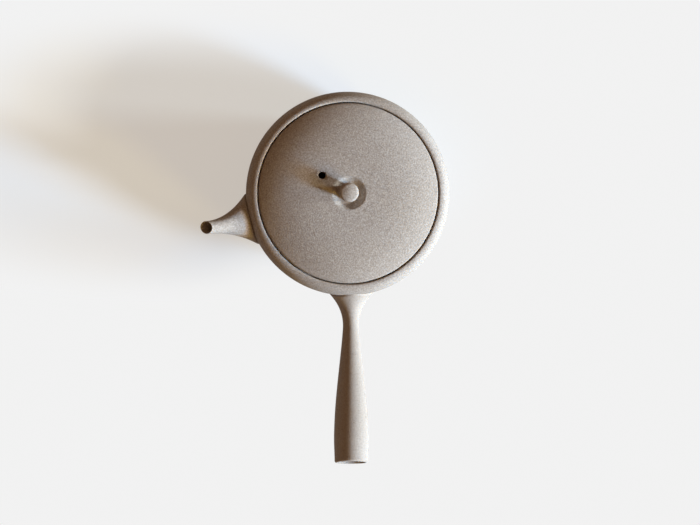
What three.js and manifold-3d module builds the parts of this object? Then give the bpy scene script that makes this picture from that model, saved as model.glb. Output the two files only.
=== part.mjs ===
// A side-handled teapot (kyusu) in bare, unglazed stoneware, built from the six clay pieces that a potter
// makes: the thrown pot, the spout, the hollow handle, the pierced tea strainer, the lid and the lid's knob.
// Millimetres, +Z up. The origin is on the table, under the pot's centre. The handle runs nearly along -Y.
import * as THREE from "three";
import { mergeVertices } from "three/addons/utils/BufferGeometryUtils.js";
import Module from "manifold-3d";

const wasm = await Module();
wasm.setup();

// Clearances
const SLIP_GAP = 0.3; // left at a joint that is stuck with slip, and under the lid
const LID_PLAY = 0.6; // round the lid's edge
const FLANGE_PLAY = 0.9; // between the lid's flange and the ledge that it drops through

// Pot
const POT_RADIUS = 60.8;
const RIM_HEIGHT = 58;
const RIM_INNER_ROUND = 0.5; // radius of the round from the rim's crest in to the lid's seat
const RIM_OUTER_ROUND = 4.6; // radius of the round from the rim's crest out to the shoulder
const SHOULDER_DROP = 12; // from the rim's crest down to the widest place
const SHOULDER_WIDTH = 6.8; // from the rim's crest out to the widest place
const SHOULDER_SLOPE = 36; // degrees that the shoulder falls at where it leaves the rim's round
const CREST_PULL = 2.5; // how far the shoulder's curve follows that slope
const SHOULDER_PULL = 5; // how far it stands straight up from the widest place
const POT_WALL = 3.4;
const FLOOR_THICKNESS = 4;
const FLOOR_RADIUS = 34; // where the flat floor starts to turn up
const FOOT_RADIUS = 39;
const FOOT_SWEEP = 13; // how far the belly's curve pulls outwards as it leaves the foot
const FOOT_LIFT = 3; // how far it pulls upwards there
const BELLY_PULL = 28; // how far the belly's curve hangs straight down from the widest place
const LEDGE_WIDTH = 4.2;
const LEDGE_THICKNESS = 2.6;
const LEDGE_SLOPE = 2; // that the ledge's underside falls towards the wall

// Lid
const LID_EDGE_THICKNESS = 3.3;
const LID_EDGE_DEPTH = 0.3; // of the lid's edge below the rim's crest
const LID_EDGE_BEVEL = 0.5;
const LID_RISE = 7.3; // of the dome's middle over the edge
const LID_DOME_POWER = 3.5; // the dome falls with this power of the radius
const LID_THICKNESS = 3;
const FLANGE_DEPTH = 5;
const FLANGE_WALL = 2.6;
const WELL_MARGIN = 1.4; // of flat floor between the knob's foot and the well's side
const WELL_SLOPE_WIDTH = 3.8; // of the well's side, which is rounded at its foot and at its top
const WELL_DEPTH = 2.5;
const VENT_RADIUS = 2.05;
const VENT_DISTANCE = 18.7; // from the lid's centre
const VENT_BEARING = 146.3; // degrees, anticlockwise from +X

// Knob
const KNOB_HEIGHT = 11.8;
const KNOB_FOOT_RADIUS = 5;
const KNOB_WAIST_PULL = 4.1; // radius that the side's curve is drawn in towards
const KNOB_WAIST_LOW = 2; // height at which it is drawn in from the foot
const KNOB_WAIST_HIGH = 5.5; // height at which it is let out again
const KNOB_FLARE_HEIGHT = 9.2; // at which the side reaches the head's radius
const KNOB_HEAD_RADIUS = 5.5;
const KNOB_HEAD_EDGE = 1.8; // radius of the round between its side and its top
const KNOB_CROWN = 0.5; // of the top's middle over that round

// Handle
const HANDLE_BEARING = -91; // degrees, anticlockwise from +X, of the way it points
const HANDLE_ROOT_BEARING = -88.6; // of its root on the pot
const HANDLE_LENGTH = 96.4; // level length, from the pot's widest radius to the middle of the open end
const HANDLE_TILT = 18; // degrees over the horizontal
const HANDLE_ROOT_DROP = 11; // of its root below the pot's widest place
const HANDLE_ROOT_RADIUS = 12.8; // sideways
const HANDLE_ROOT_RISE = 17; // upwards, as it is drawn up onto the pot's shoulder
const HANDLE_FLARE_POWER = 2.2;
const HANDLE_NECK_RADIUS = 4.8;
const HANDLE_NECK_DISTANCE = 20; // from the pot, along the handle
const HANDLE_END_RADIUS = 10.15;
const HANDLE_LIP_RADIUS = 9.8;
const HANDLE_SWELL_SHARE = 0.84; // of the way from the neck to the end, where it is widest
const HANDLE_SWELL_POWER = 1.25;
const HANDLE_WALL = 2.2;

// Spout
const SPOUT_BEARING = 193; // degrees, anticlockwise from +X
const SPOUT_LENGTH = 24.6; // level length, from the pot's widest radius to the middle of the mouth
const SPOUT_RISE = 2; // of the mouth's middle over the pot's rim
const SPOUT_ROOT_DROP = 10; // of its root below the pot's widest place
const SPOUT_BEND_REACH = 12; // level, from the pot's widest radius to where the lines of its two ends cross
const SPOUT_BEND_RISE = 15.5; // of that crossing over the root
const SPOUT_BEND_BEARING = 194.5; // of that crossing, as the spout bows a little to one side
const SPOUT_TIP_RADIUS = 3.8;
const SPOUT_LIP = 0.8; // thickness at the mouth
const SPOUT_WALL = 3; // thickness at the pot
const SPOUT_FLARE = 10.7; // that its radius sideways grows by from the mouth to the pot
const SPOUT_FLARE_UP = 6.6; // that its radius upwards grows by, as the root is a wide oval
const SPOUT_FLARE_POWER = 2.1;
const SPOUT_FLARE_UP_POWER = 1.1;
const SPOUT_CUT_TILT = 60; // degrees that the mouth's face looks up
const SPOUT_HOLE_RADIUS = 7; // through the pot's wall
const SPOUT_HOLE_DROP = 5.4; // of that hole below the pot's widest place

// Strainer
const STRAINER_OVERLAP = 1.6; // of the strainer round the spout's hole
const STRAINER_HEIGHT = 7;
const STRAINER_WALL = 1.6;
const STRAINER_HOLE_RADIUS = 0.6;
const STRAINER_HOLE_MARGIN = 1.4; // from the middle of the last holes to the edge of the spout's hole
const STRAINER_RINGS = 3;
const FIRST_RING_HOLES = 6; // each further ring has as many more

// Smoothness
const ROUND_STEPS = 60;
const SMALL_ROUND_STEPS = 24;
const VENT_STEPS = 16;
const HOLE_STEPS = 6;
const CURVE_STEPS = 7;
const DOME_STEPS = 9;
const WELL_STEPS = 4;
const SMALL_CURVE_STEPS = 4;
const SPOUT_RINGS = 11;
const HANDLE_FLARE_RINGS = 7;
const HANDLE_SWELL_RINGS = 9;
const REACH_PAST = 12; // that a blank runs past the face that trims it
const ROOT_SINK = 4; // that a flare goes on widening past the pot's widest radius, as the wall curves away

const CLAY = new THREE.MeshStandardMaterial({ color: 0x9a8d82, roughness: 0.95, metalness: 0 });
const INNER_CLAY = new THREE.MeshStandardMaterial({ color: 0x94877c, roughness: 0.97, metalness: 0 });

// Sizes that follow from the ones above
const CREST_RADIUS = POT_RADIUS - SHOULDER_WIDTH;
const SEAT_RADIUS = CREST_RADIUS - RIM_INNER_ROUND;
const LID_RADIUS = SEAT_RADIUS - LID_PLAY;
const WIDEST_HEIGHT = RIM_HEIGHT - SHOULDER_DROP;
const INNER_RADIUS = POT_RADIUS - POT_WALL;
const LID_EDGE_TOP = RIM_HEIGHT - LID_EDGE_DEPTH;
const LID_UNDERSIDE = LID_EDGE_TOP - LID_EDGE_THICKNESS;
const LEDGE_TOP = LID_UNDERSIDE - SLIP_GAP;
const LEDGE_BOTTOM = LEDGE_TOP - LEDGE_THICKNESS;
const LEDGE_RADIUS = SEAT_RADIUS - LEDGE_WIDTH;
const CAVITY_TOP = LEDGE_BOTTOM - LEDGE_SLOPE;
const FLANGE_RADIUS = LEDGE_RADIUS - FLANGE_PLAY;
const WELL_FLOOR_RADIUS = KNOB_FOOT_RADIUS + WELL_MARGIN;
const WELL_RADIUS = WELL_FLOOR_RADIUS + WELL_SLOPE_WIDTH;
const WELL_FLOOR = LID_EDGE_TOP + LID_RISE - WELL_DEPTH;
const SPOUT_ROOT_HEIGHT = WIDEST_HEIGHT - SPOUT_ROOT_DROP;
const SPOUT_HOLE_HEIGHT = WIDEST_HEIGHT - SPOUT_HOLE_DROP;
const STRAINER_RADIUS = SPOUT_HOLE_RADIUS + STRAINER_OVERLAP;

// A point at a distance from the pot's axis, on a bearing in degrees, at a height.
function polar(distance, bearing, height) {
  const angle = THREE.MathUtils.degToRad(bearing);
  return new THREE.Vector3(distance * Math.cos(angle), distance * Math.sin(angle), height);
}

// The unit vector on a bearing, tilted up from the horizontal, both in degrees.
function heading(bearing, tilt) {
  const up = THREE.MathUtils.degToRad(tilt);
  return polar(Math.cos(up), bearing, Math.sin(up));
}

// A direction part of the way from one to another.
function between(from, to, share) {
  return from.clone().lerp(to, THREE.MathUtils.smoothstep(share, 0, 1)).normalize();
}

// A geometry as a solid, with its shared vertices merged and its empty triangles dropped.
function solidOf(geometry) {
  const bare = geometry.clone();
  bare.deleteAttribute("normal");
  bare.deleteAttribute("uv");
  const merged = mergeVertices(bare, 1e-4);
  const corners = merged.index.array;
  const kept = [];
  for (let i = 0; i < corners.length; i += 3) {
    const [a, b, c] = [corners[i], corners[i + 1], corners[i + 2]];
    if (a !== b && b !== c && c !== a) kept.push(a, b, c);
  }
  const vertProperties = merged.attributes.position.array;
  return new wasm.Manifold(new wasm.Mesh({ numProp: 3, vertProperties, triVerts: new Uint32Array(kept) }));
}

// A named mesh of a solid.
function meshOf(name, solid, material) {
  const { vertProperties, triVerts } = solid.getMesh();
  const geometry = new THREE.BufferGeometry();
  geometry.setAttribute("position", new THREE.BufferAttribute(vertProperties, 3));
  geometry.setIndex(new THREE.BufferAttribute(triVerts, 1));
  geometry.computeVertexNormals();
  const mesh = new THREE.Mesh(geometry, material);
  mesh.name = name;
  return mesh;
}

// The points of a path in (radius, height), with its curves cut into steps and no point twice.
function profileOf(path, steps = CURVE_STEPS) {
  return path.getPoints(steps).filter((p, i, all) => i === 0 || p.distanceTo(all[i - 1]) > 1e-6);
}

// A profile spun about +Z, as a solid.
function spun(points, steps = ROUND_STEPS) {
  return solidOf(new THREE.LatheGeometry(points, steps).rotateX(Math.PI / 2));
}

// A geometry made about +Y, moved to a point and turned to a direction, as a solid.
function placed(geometry, start, direction) {
  const turn = new THREE.Quaternion().setFromUnitVectors(new THREE.Vector3(0, 1, 0), direction);
  return solidOf(geometry.applyMatrix4(new THREE.Matrix4().compose(start, turn, new THREE.Vector3(1, 1, 1))));
}

// A straight round peg from one point along a direction, for cutting holes.
function peg(start, direction, length, radius, steps) {
  const cylinder = new THREE.CylinderGeometry(radius, radius, length, steps);
  return placed(cylinder.translate(0, length / 2, 0), start, direction);
}

// Rings joined in order into one closed tube, the last to the first. A ring is { centre, facing, radius, rise, fall },
// where the rise is its radius upwards and the fall is its radius downwards.
function loft(rings, steps = SMALL_ROUND_STEPS) {
  const positions = [];
  const corners = [];
  for (const { centre, facing, radius, rise, fall } of rings) {
    const side = new THREE.Vector3(0, 0, 1).cross(facing).normalize();
    const up = facing.clone().cross(side).normalize();
    for (let k = 0; k < steps; k += 1) {
      const turn = (2 * Math.PI * k) / steps;
      const height = (turn < Math.PI ? rise : fall) * Math.sin(turn);
      const point = centre.clone();
      point.addScaledVector(side, radius * Math.cos(turn)).addScaledVector(up, height);
      positions.push(point.x, point.y, point.z);
    }
  }
  for (let i = 0; i < rings.length; i += 1) {
    const next = ((i + 1) % rings.length) * steps;
    for (let k = 0; k < steps; k += 1) {
      const [a, b] = [i * steps + k, i * steps + ((k + 1) % steps)];
      const [c, d] = [next + k, next + ((k + 1) % steps)];
      corners.push(a, b, d, a, d, c);
    }
  }
  const geometry = new THREE.BufferGeometry();
  geometry.setAttribute("position", new THREE.Float32BufferAttribute(positions, 3));
  geometry.setIndex(corners);
  return solidOf(geometry);
}

// The pot's outside, from the foot's outer edge up to the rim's crest, grown outwards by a margin: the belly,
// the shoulder and the outer part of the rim's round.
function addPotOutside(path, margin = 0) {
  const slope = THREE.MathUtils.degToRad(SHOULDER_SLOPE);
  const round = RIM_OUTER_ROUND + margin;
  const middle = RIM_HEIGHT - RIM_OUTER_ROUND;
  const edge = new THREE.Vector2(CREST_RADIUS + round * Math.sin(slope), middle + round * Math.cos(slope));
  path.bezierCurveTo(
    FOOT_RADIUS + FOOT_SWEEP + margin,
    FOOT_LIFT - margin,
    POT_RADIUS + margin,
    WIDEST_HEIGHT - BELLY_PULL,
    POT_RADIUS + margin,
    WIDEST_HEIGHT,
  );
  path.bezierCurveTo(
    POT_RADIUS + margin,
    WIDEST_HEIGHT + SHOULDER_PULL,
    edge.x + CREST_PULL * Math.cos(slope),
    edge.y - CREST_PULL * Math.sin(slope),
    edge.x,
    edge.y,
  );
  path.absarc(CREST_RADIUS, middle, round, Math.PI / 2 - slope, Math.PI / 2, false);
}

// The pot's inside, from under the ledge down to the axis, shrunk inwards by a margin.
function addPotInside(path, margin = 0) {
  path.bezierCurveTo(
    INNER_RADIUS - margin,
    WIDEST_HEIGHT - BELLY_PULL,
    FLOOR_RADIUS + FOOT_SWEEP - margin,
    FLOOR_THICKNESS + margin,
    FLOOR_RADIUS,
    FLOOR_THICKNESS + margin,
  );
  path.lineTo(0, FLOOR_THICKNESS + margin);
}

// The whole space that the pot's outside encloses, for trimming what is stuck onto it.
function potEnvelope(margin) {
  const path = new THREE.Path();
  path.moveTo(0, -margin);
  path.lineTo(FOOT_RADIUS + margin, -margin);
  addPotOutside(path, margin);
  path.lineTo(0, RIM_HEIGHT + margin);
  return spun(profileOf(path));
}

// The space inside the pot's wall under the ledge, for trimming what is stuck to the wall inside.
function potCavity(margin) {
  const path = new THREE.Path();
  path.moveTo(0, CAVITY_TOP);
  path.lineTo(INNER_RADIUS - margin, CAVITY_TOP);
  addPotInside(path, margin);
  return spun(profileOf(path).reverse());
}

// Thrown pot: flat foot, round belly, sloping shoulder, rounded rim and the ledge that the lid sits on.
function makePot() {
  const path = new THREE.Path();
  path.moveTo(0, 0);
  path.lineTo(FOOT_RADIUS, 0);
  addPotOutside(path);
  path.absarc(CREST_RADIUS, RIM_HEIGHT - RIM_INNER_ROUND, RIM_INNER_ROUND, Math.PI / 2, Math.PI, false);
  path.lineTo(SEAT_RADIUS, LEDGE_TOP);
  path.lineTo(LEDGE_RADIUS, LEDGE_TOP);
  path.lineTo(LEDGE_RADIUS, LEDGE_BOTTOM);
  path.lineTo(INNER_RADIUS, CAVITY_TOP);
  addPotInside(path);
  const outwards = heading(SPOUT_BEARING, 0);
  const start = polar(INNER_RADIUS - REACH_PAST, SPOUT_BEARING, SPOUT_HOLE_HEIGHT);
  const hole = peg(start, outwards, 2 * REACH_PAST + POT_WALL, SPOUT_HOLE_RADIUS, SMALL_ROUND_STEPS);
  return spun(profileOf(path)).subtract(hole);
}

// The spout's middle line, which climbs from inside the pot's wall to the mouth.
function spoutLine() {
  const tip = polar(POT_RADIUS + SPOUT_LENGTH, SPOUT_BEARING, RIM_HEIGHT + SPOUT_RISE);
  const bendHeight = SPOUT_ROOT_HEIGHT + SPOUT_BEND_RISE;
  const bend = polar(POT_RADIUS + SPOUT_BEND_REACH, SPOUT_BEND_BEARING, bendHeight);
  const root = polar(POT_RADIUS - REACH_PAST, SPOUT_BEARING, SPOUT_ROOT_HEIGHT);
  return new THREE.QuadraticBezierCurve3(tip, bend, root);
}

// Spout: a hollow trumpet that flares into the pot's wall with an oval root and is cut across at the mouth.
function makeSpout() {
  const line = spoutLine();
  const level = heading(SPOUT_BEARING, 0);
  const rings = [];
  for (let i = 0; i <= SPOUT_RINGS; i += 1) {
    const centre = line.getPoint(i / SPOUT_RINGS);
    const toPot = POT_RADIUS + SPOUT_LENGTH - Math.hypot(centre.x, centre.y);
    const share = Math.max(Math.min(toPot, SPOUT_LENGTH + ROOT_SINK), 0) / SPOUT_LENGTH;
    const sideways = SPOUT_TIP_RADIUS + SPOUT_FLARE * share ** SPOUT_FLARE_POWER;
    const upwards = SPOUT_TIP_RADIUS + SPOUT_FLARE_UP * share ** SPOUT_FLARE_UP_POWER;
    const wall = THREE.MathUtils.lerp(SPOUT_LIP, SPOUT_WALL, Math.min(share, 1));
    const facing = between(line.getTangent(i / SPOUT_RINGS).negate(), level, share);
    rings.push({ centre, facing, sideways, upwards, wall });
  }
  const mouth = rings[0];
  const past = mouth.centre.clone().addScaledVector(mouth.facing, 2 * mouth.sideways);
  rings.unshift({ ...mouth, centre: past });
  const thinned = (ring, cut) => {
    const rise = ring.upwards - cut;
    return { ...ring, radius: ring.sideways - cut, rise, fall: rise };
  };
  const outer = rings.map((ring) => thinned(ring, 0)).reverse();
  const inner = rings.map((ring) => thinned(ring, ring.wall));
  const cut = heading(SPOUT_BEARING, SPOUT_CUT_TILT);
  const knife = peg(mouth.centre, cut, REACH_PAST, REACH_PAST, SMALL_ROUND_STEPS);
  return loft([...outer, ...inner]).subtract(potEnvelope(SLIP_GAP)).subtract(knife);
}

// The handle's outer radius at a distance along it: a flare from its root's radius down to a neck, then a swell that
// rounds in at the lip.
function handleRadius(distance, length, rootRadius) {
  if (distance < HANDLE_NECK_DISTANCE) {
    const share = 1 - Math.max(distance, -ROOT_SINK) / HANDLE_NECK_DISTANCE;
    return HANDLE_NECK_RADIUS + (rootRadius - HANDLE_NECK_RADIUS) * share ** HANDLE_FLARE_POWER;
  }
  const along = (distance - HANDLE_NECK_DISTANCE) / (length - HANDLE_NECK_DISTANCE);
  const swell = Math.sin((Math.PI / 2) * Math.min(along / HANDLE_SWELL_SHARE, 1) ** HANDLE_SWELL_POWER);
  const widest = THREE.MathUtils.lerp(HANDLE_NECK_RADIUS, HANDLE_END_RADIUS, swell);
  const tuck = HANDLE_END_RADIUS - HANDLE_LIP_RADIUS;
  return widest - tuck * THREE.MathUtils.smoothstep(along, HANDLE_SWELL_SHARE, 1);
}

// Handle: a thrown, hollow tube that flares at the pot, narrows to a neck and swells to an open end.
function makeHandle() {
  const level = heading(HANDLE_BEARING, 0);
  const direction = heading(HANDLE_BEARING, HANDLE_TILT);
  const root = polar(POT_RADIUS, HANDLE_ROOT_BEARING, WIDEST_HEIGHT - HANDLE_ROOT_DROP);
  const length = HANDLE_LENGTH / Math.cos(THREE.MathUtils.degToRad(HANDLE_TILT));
  const stops = [-REACH_PAST, -ROOT_SINK];
  for (let i = 0; i <= HANDLE_FLARE_RINGS; i += 1) {
    stops.push((HANDLE_NECK_DISTANCE * i) / HANDLE_FLARE_RINGS);
  }
  for (let i = 1; i <= HANDLE_SWELL_RINGS; i += 1) {
    stops.push(THREE.MathUtils.lerp(HANDLE_NECK_DISTANCE, length, i / HANDLE_SWELL_RINGS));
  }
  const ring = (distance, wall) => {
    const centre = root.clone().addScaledVector(direction, distance);
    const facing = between(level, direction, distance / HANDLE_NECK_DISTANCE);
    const radius = handleRadius(distance, length, HANDLE_ROOT_RADIUS) - wall;
    const rise = handleRadius(distance, length, HANDLE_ROOT_RISE) - wall;
    return { centre, facing, radius, rise, fall: radius };
  };
  const outer = stops.map((distance) => ring(distance, 0));
  const inner = stops.map((distance) => ring(distance, HANDLE_WALL)).reverse();
  return loft([...outer, ...inner]).subtract(potEnvelope(SLIP_GAP));
}

// Strainer: a thin cap of clay pierced with rings of holes, stuck over the spout's hole inside the pot.
function makeStrainer() {
  const ballRadius = (STRAINER_RADIUS ** 2 + STRAINER_HEIGHT ** 2) / (2 * STRAINER_HEIGHT);
  const inwards = heading(SPOUT_BEARING, 0).negate();
  const middle = polar(INNER_RADIUS + ballRadius - STRAINER_HEIGHT, SPOUT_BEARING, SPOUT_HOLE_HEIGHT);
  const path = new THREE.Path();
  path.absarc(0, 0, ballRadius, 0, Math.PI / 2, false);
  path.absarc(0, 0, ballRadius - STRAINER_WALL, Math.PI / 2, 0, true);
  path.closePath();
  const shell = placed(new THREE.LatheGeometry(profileOf(path), SMALL_ROUND_STEPS), middle, inwards);
  let cap = shell.intersect(potCavity(SLIP_GAP));
  const toCap = new THREE.Quaternion().setFromUnitVectors(new THREE.Vector3(0, 1, 0), inwards);
  const widestLean = Math.asin((SPOUT_HOLE_RADIUS - STRAINER_HOLE_MARGIN) / ballRadius);
  for (let ring = 0; ring <= STRAINER_RINGS; ring += 1) {
    const holes = Math.max(1, FIRST_RING_HOLES * ring);
    const lean = (widestLean * ring) / STRAINER_RINGS;
    for (let k = 0; k < holes; k += 1) {
      const turn = (2 * Math.PI * k) / holes;
      const way = new THREE.Vector3(0, Math.cos(lean), 0);
      way.x = Math.sin(lean) * Math.cos(turn);
      way.z = Math.sin(lean) * Math.sin(turn);
      way.applyQuaternion(toCap);
      const start = middle.clone().addScaledVector(way, ballRadius - 2 * STRAINER_WALL);
      cap = cap.subtract(peg(start, way, 3 * STRAINER_WALL, STRAINER_HOLE_RADIUS, HOLE_STEPS));
    }
  }
  return cap;
}

// The height of the lid's dome at a radius, without the well.
function lidDome(radius) {
  return LID_EDGE_TOP + LID_RISE * (1 - (radius / LID_RADIUS) ** LID_DOME_POWER);
}

// Lid: a domed disc with the knob's well, a steam vent, and a flange below that keeps it in its seat.
function makeLid() {
  const points = [];
  const add = (radius, height) => points.push(new THREE.Vector2(radius, height));
  const under = (radius) => Math.min(lidDome(radius), WELL_FLOOR) - LID_THICKNESS;
  const flangeInside = FLANGE_RADIUS - FLANGE_WALL;
  add(0, under(0));
  for (let i = 2; i <= CURVE_STEPS; i += 1) {
    const radius = (flangeInside * i) / CURVE_STEPS;
    add(radius, under(radius));
  }
  add(flangeInside, LID_UNDERSIDE - FLANGE_DEPTH);
  add(FLANGE_RADIUS, LID_UNDERSIDE - FLANGE_DEPTH);
  add(FLANGE_RADIUS, LID_UNDERSIDE);
  add(LID_RADIUS - LID_EDGE_BEVEL, LID_UNDERSIDE);
  add(LID_RADIUS, LID_UNDERSIDE + LID_EDGE_BEVEL);
  add(LID_RADIUS, LID_EDGE_TOP - LID_EDGE_BEVEL);
  for (let i = 0; i <= DOME_STEPS; i += 1) {
    const radius = THREE.MathUtils.lerp(LID_RADIUS - LID_EDGE_BEVEL, WELL_RADIUS, i / DOME_STEPS);
    add(radius, lidDome(radius));
  }
  for (let i = WELL_STEPS - 1; i >= 0; i -= 1) {
    const climb = THREE.MathUtils.smoothstep(i / WELL_STEPS, 0, 1) * (lidDome(WELL_RADIUS) - WELL_FLOOR);
    add(WELL_FLOOR_RADIUS + (WELL_SLOPE_WIDTH * i) / WELL_STEPS, WELL_FLOOR + climb);
  }
  add(0, WELL_FLOOR);
  const start = polar(VENT_DISTANCE, VENT_BEARING, LID_UNDERSIDE);
  const length = LID_EDGE_THICKNESS + 2 * LID_RISE;
  const vent = peg(start, new THREE.Vector3(0, 0, 1), length, VENT_RADIUS, VENT_STEPS);
  return spun(points).subtract(vent);
}

// Knob: a short spool with a narrower waist and a slightly crowned, round-edged top.
function makeKnob() {
  const path = new THREE.Path();
  const topRadius = KNOB_HEAD_RADIUS - KNOB_HEAD_EDGE;
  const headSide = KNOB_HEIGHT - KNOB_CROWN - KNOB_HEAD_EDGE;
  path.moveTo(0, 0);
  path.lineTo(KNOB_FOOT_RADIUS, 0);
  path.bezierCurveTo(
    KNOB_WAIST_PULL,
    KNOB_WAIST_LOW,
    KNOB_WAIST_PULL,
    KNOB_WAIST_HIGH,
    KNOB_HEAD_RADIUS,
    KNOB_FLARE_HEIGHT,
  );
  path.lineTo(KNOB_HEAD_RADIUS, headSide);
  path.absarc(topRadius, headSide, KNOB_HEAD_EDGE, 0, Math.PI / 2, false);
  path.quadraticCurveTo(topRadius / 2, KNOB_HEIGHT, 0, KNOB_HEIGHT);
  return spun(profileOf(path, SMALL_CURVE_STEPS), SMALL_ROUND_STEPS);
}

const kyusu = new THREE.Group();
kyusu.add(meshOf("pot_body", makePot(), CLAY));
kyusu.add(meshOf("spout", makeSpout(), CLAY));
kyusu.add(meshOf("side_handle", makeHandle(), CLAY));
kyusu.add(meshOf("tea_strainer", makeStrainer(), INNER_CLAY));

const lidGroup = new THREE.Group();
lidGroup.add(meshOf("lid", makeLid(), CLAY));
const knob = meshOf("lid_knob", makeKnob(), CLAY);
knob.position.z = WELL_FLOOR;
lidGroup.add(knob);
kyusu.add(lidGroup);

export default kyusu;
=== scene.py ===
"""A side-handled teapot (kyusu) in bare, sandy stoneware, dressed over its packed construction.

Each clay piece of the teapot is a class that holds its sizes and builds its own smooth surface: the thrown
pot, the spout, the hollow handle, the pierced strainer, the lid and the knob. Every surface is a numpy grid,
either a section spun about an axis or a round tube whose radius changes along a middle line. Lengths are in
metres, +Z is up, the origin is on the table under the pot's centre, and the handle runs nearly along -Y.
"""

import logging
import math
from collections.abc import Callable
from dataclasses import dataclass, field
from enum import Enum
from typing import Self

import bpy
import numpy as np
from bpy.types import ID, Material, Node, NodeSocket, Object, World
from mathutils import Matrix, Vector


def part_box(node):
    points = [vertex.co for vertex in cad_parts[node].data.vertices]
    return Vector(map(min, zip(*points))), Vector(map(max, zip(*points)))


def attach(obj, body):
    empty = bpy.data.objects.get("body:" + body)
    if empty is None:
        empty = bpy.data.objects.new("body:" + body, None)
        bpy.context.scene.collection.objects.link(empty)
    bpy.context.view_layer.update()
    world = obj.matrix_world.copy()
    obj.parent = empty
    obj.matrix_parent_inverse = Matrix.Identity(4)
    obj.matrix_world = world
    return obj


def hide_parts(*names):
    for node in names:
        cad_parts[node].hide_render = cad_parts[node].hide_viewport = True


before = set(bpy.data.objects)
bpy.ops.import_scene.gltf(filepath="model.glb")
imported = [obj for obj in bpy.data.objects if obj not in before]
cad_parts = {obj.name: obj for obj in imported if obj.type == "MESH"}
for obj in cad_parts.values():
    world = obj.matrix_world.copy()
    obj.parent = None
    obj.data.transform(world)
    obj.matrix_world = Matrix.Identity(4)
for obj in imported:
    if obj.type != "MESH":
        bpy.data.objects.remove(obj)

LOG = logging.getLogger("kyusu")
MM = 0.001
UP = np.array([0.0, 0.0, 1.0])
BLACK = (0.0, 0.0, 0.0)

# Steps in a full turn: the pot and the lid, the limbs, small things, the vent and the strainer's pegs
ROUND_COLUMNS = 180
TUBE_COLUMNS = 112
SMALL_COLUMNS = 96
VENT_COLUMNS = 48
PEG_COLUMNS = 16

# How finely curves are drawn, worn round with a bell curve, and sampled by length and by turning
CURVE_STEPS = 60
ARC_STEPS = 40
SAME_POINT = 1e-7
BELL_STEPS = 5
BELL_REACH = 15
LONGEST_STEP = 2 * MM
SHARPEST_TURN = math.radians(8.0)
BISECTIONS = 40

# Short names for the hints
Array = np.ndarray
Pair = tuple[float, float]
Triple = tuple[float, float, float]
Move = Callable[[Array], Array]


class Body(Enum):
    """The bodies of the construction that the pieces ride on."""

    POT = "pot"
    LID = "lid_assembly"


class Slot(Enum):
    """The record's material slots."""

    POT = "bare_clay"
    STRAINER = "strainer_clay"
    LID = "lid_clay"


# Shapes


def lengths_along(points: Array) -> Array:
    """How far along a line of points each of them lies."""
    steps = np.linalg.norm(np.diff(points, axis=0), axis=1)
    return np.concatenate([[0.0], np.cumsum(steps)])


def resampled(points: Array, place: Array, wanted: Array) -> Array:
    """A flat line of points, each with a place that grows along it, read at the wanted places."""
    return np.stack([np.interp(wanted, place, points[:, k]) for k in range(2)], axis=1)


@dataclass
class Section:
    """A section in (radius, height), drawn stretch by stretch and then softened as fired clay is.

    What adds a stretch gives the section back.
    """

    points: list[Array] = field(default_factory=list)

    def to(self, *corners: Pair) -> Self:
        """Adds corners or other points, each a radius and a height."""
        self.points.append(np.array(corners))
        return self

    def curve(self, *handles: Pair, count: int = CURVE_STEPS) -> Self:
        """Adds a cubic curve from the last point A, with the handles B and C and the end D.

        The curve is (1-t)^3 A + 3(1-t)^2 t B + 3(1-t) t^2 C + t^3 D for t from 0 to 1.

        Args:
            handles: The points B, C and D.
            count: How many points the curve gets.

        Returns:
            The section.
        """
        a = self.points[-1][-1]
        b, c, d = (np.array(handle) for handle in handles)
        t = np.linspace(0.0, 1.0, count)[1:, None]
        near = (1 - t) ** 3 * a + 3 * (1 - t) ** 2 * t * b
        self.points.append(near + 3 * (1 - t) * t**2 * c + t**3 * d)
        return self

    def arc(self, centre: Pair, radius: float, start: float, stop: float, count: int = ARC_STEPS) -> Self:
        """Adds points of a circle: centre + radius (cos a, sin a), for a from start to stop degrees."""
        angle = np.radians(np.linspace(start, stop, count))
        self.points.append(np.array(centre) + radius * np.stack([np.cos(angle), np.sin(angle)], axis=1))
        return self

    def raw(self) -> Array:
        """All points in one array, with doubles dropped."""
        points = np.concatenate(self.points)
        apart = np.linalg.norm(np.diff(points, axis=0), axis=1) > SAME_POINT
        return points[np.concatenate([[True], apart])]

    def softened(self, rounding: float) -> Array:
        """The section with its corners worn round, sampled closely where it turns.

        The section is cut into even steps and averaged along itself with a bell curve. The points kept are
        evenly spread over the integral of 1/(longest step) + (turning)/(sharpest turn).

        Args:
            rounding: Width of the bell curve, about half the radius that a square corner gets.

        Returns:
            An (n, 2) array.
        """
        points = self.raw()
        step = rounding / BELL_STEPS
        length = lengths_along(points)
        fine = resampled(points, length, np.linspace(0.0, length[-1], int(length[-1] / step)))
        bell = np.exp(-0.5 * (np.arange(-BELL_REACH, BELL_REACH + 1) / BELL_STEPS) ** 2)
        bell /= bell.sum()
        padded = np.pad(fine, ((BELL_REACH, BELL_REACH), (0, 0)), "reflect", reflect_type="odd")
        smooth = np.stack([np.convolve(padded[:, k], bell, mode="valid") for k in range(2)], axis=1)
        edge = np.diff(smooth, axis=0)
        bearing = np.unwrap(np.arctan2(edge[:, 1], edge[:, 0]))
        turning = np.abs(np.diff(bearing, append=bearing[-1]))
        crowding = np.linalg.norm(edge, axis=1) / LONGEST_STEP + turning / SHARPEST_TURN
        weight = np.concatenate([[0.0], np.cumsum(crowding)])
        return resampled(smooth, weight, np.linspace(0.0, weight[-1], int(weight[-1]) + 2))


def rod_section(radius: float, low: float, high: float) -> Array:
    """The section of a straight round rod between two heights."""
    return np.array([(0.0, low), (radius, low), (radius, high), (0.0, high)])


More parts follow.
